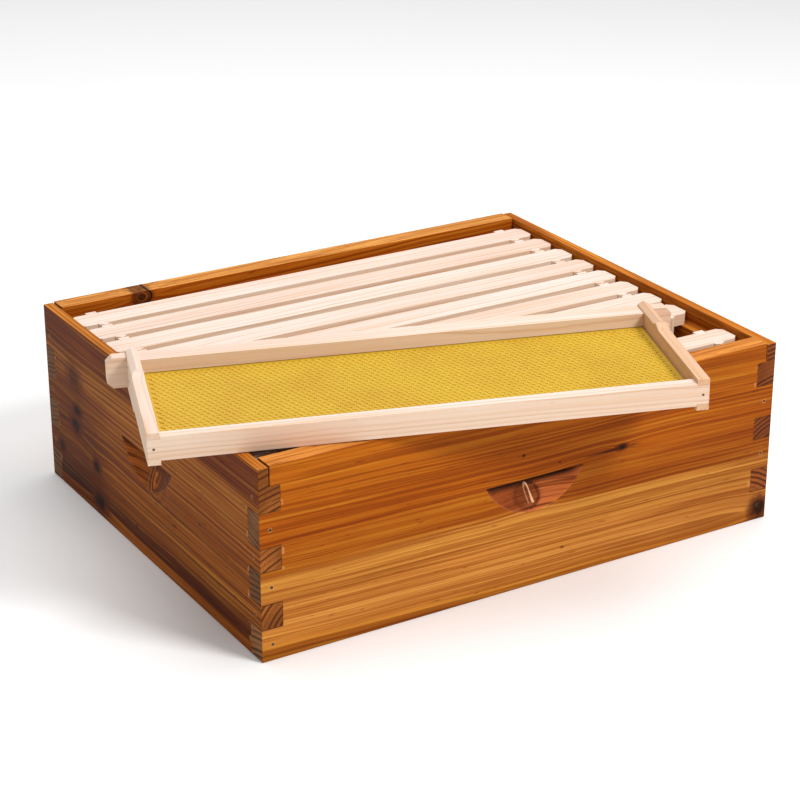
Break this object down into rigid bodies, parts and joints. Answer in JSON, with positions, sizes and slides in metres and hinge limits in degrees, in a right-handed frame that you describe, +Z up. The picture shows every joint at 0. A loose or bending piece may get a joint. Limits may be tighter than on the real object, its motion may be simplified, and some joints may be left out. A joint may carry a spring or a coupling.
{
  "type": "langstroth hive box",
  "caption": "Medium beehive box of finger-jointed, wax-dipped boards, hung with self-spacing wooden frames of yellow foundation, one frame taken out and laid across the rim.",
  "frame": {"origin": "centre of the box's bottom opening, in the plane the box stands on", "axes": "+X along the side boards, towards the right end board; +Y to the back board; +Z up"},
  "size_m": [0.5697, 0.5032, 0.2049],
  "materials": {
    "side_board_wood": "pine dipped in hot wax, satin",
    "end_board_wood": "pine dipped in hot wax, darker, satin",
    "frame_wood": "planed white pine, bare",
    "foundation_plastic": "moulded sheet under a thin coat of beeswax",
    "nail_steel": "bright wire nails"
  },
  "bodies": {
    "box": {"side_board_front": "side_board_wood", "side_board_back": "side_board_wood", "end_board_left": "end_board_wood", "end_board_right": "end_board_wood", "corner_nails": "nail_steel"},
    "frame_1": {"frame_1_top_bar": "frame_wood", "frame_1_end_bar_left": "frame_wood", "frame_1_end_bar_right": "frame_wood", "frame_1_bottom_bar": "frame_wood", "frame_1_foundation": "foundation_plastic"},
    "frame_2": {"frame_2_top_bar": "frame_wood", "frame_2_end_bar_left": "frame_wood", "frame_2_end_bar_right": "frame_wood", "frame_2_bottom_bar": "frame_wood", "frame_2_foundation": "foundation_plastic"},
    "frame_3": {"frame_3_top_bar": "frame_wood", "frame_3_end_bar_left": "frame_wood", "frame_3_end_bar_right": "frame_wood", "frame_3_bottom_bar": "frame_wood", "frame_3_foundation": "foundation_plastic"},
    "frame_4": {"frame_4_top_bar": "frame_wood", "frame_4_end_bar_left": "frame_wood", "frame_4_end_bar_right": "frame_wood", "frame_4_bottom_bar": "frame_wood", "frame_4_foundation": "foundation_plastic"},
    "frame_5": {"frame_5_top_bar": "frame_wood", "frame_5_end_bar_left": "frame_wood", "frame_5_end_bar_right": "frame_wood", "frame_5_bottom_bar": "frame_wood", "frame_5_foundation": "foundation_plastic"},
    "frame_6": {"frame_6_top_bar": "frame_wood", "frame_6_end_bar_left": "frame_wood", "frame_6_end_bar_right": "frame_wood", "frame_6_bottom_bar": "frame_wood", "frame_6_foundation": "foundation_plastic"},
    "frame_7": {"frame_7_top_bar": "frame_wood", "frame_7_end_bar_left": "frame_wood", "frame_7_end_bar_right": "frame_wood", "frame_7_bottom_bar": "frame_wood", "frame_7_foundation": "foundation_plastic"},
    "frame_8": {"frame_8_top_bar": "frame_wood", "frame_8_end_bar_left": "frame_wood", "frame_8_end_bar_right": "frame_wood", "frame_8_bottom_bar": "frame_wood", "frame_8_foundation": "foundation_plastic"},
    "loose_frame": {"loose_frame_top_bar": "frame_wood", "loose_frame_end_bar_left": "frame_wood", "loose_frame_end_bar_right": "frame_wood", "loose_frame_bottom_bar": "frame_wood", "loose_frame_foundation": "foundation_plastic", "loose_frame_nails": "nail_steel"},
    "frame_10": {"frame_10_top_bar": "frame_wood", "frame_10_end_bar_left": "frame_wood", "frame_10_end_bar_right": "frame_wood", "frame_10_bottom_bar": "frame_wood", "frame_10_foundation": "foundation_plastic"}
  },
  "joints": [
    {"name": "frame_1_lift", "type": "slide", "parent": "box", "child": "frame_1", "axis": [0, 0, 1], "range_m": [0, 0.18]},
    {"name": "frame_2_lift", "type": "slide", "parent": "box", "child": "frame_2", "axis": [0, 0, 1], "range_m": [0, 0.18]},
    {"name": "frame_3_lift", "type": "slide", "parent": "box", "child": "frame_3", "axis": [0, 0, 1], "range_m": [0, 0.18]},
    {"name": "frame_4_lift", "type": "slide", "parent": "box", "child": "frame_4", "axis": [0, 0, 1], "range_m": [0, 0.18]},
    {"name": "frame_5_lift", "type": "slide", "parent": "box", "child": "frame_5", "axis": [0, 0, 1], "range_m": [0, 0.18]},
    {"name": "frame_8_shift", "type": "slide", "parent": "box", "child": "frame_8", "axis": [0, -1, 0], "range_m": [0, 0.0354]},
    {"name": "frame_7_shift", "type": "slide", "parent": "box", "child": "frame_7", "axis": [0, -1, 0], "range_m": [0, 0.0354]},
    {"name": "frame_6_shift", "type": "slide", "parent": "box", "child": "frame_6", "axis": [0, -1, 0], "range_m": [0, 0.0354]},
    {"name": "frame_10_shift", "type": "slide", "parent": "box", "child": "frame_10", "axis": [0, -1, 0], "range_m": [-0.0354, 0]},
    {"name": "loose_frame_lift", "type": "slide", "parent": "box", "child": "loose_frame", "axis": [0, 0, 1], "range_m": [0, 0.25]}
  ],
  "couplings": [
    {"joint": "frame_7_shift", "follows": "frame_8_shift", "ratio": 1},
    {"joint": "frame_6_shift", "follows": "frame_8_shift", "ratio": 1}
  ]
}
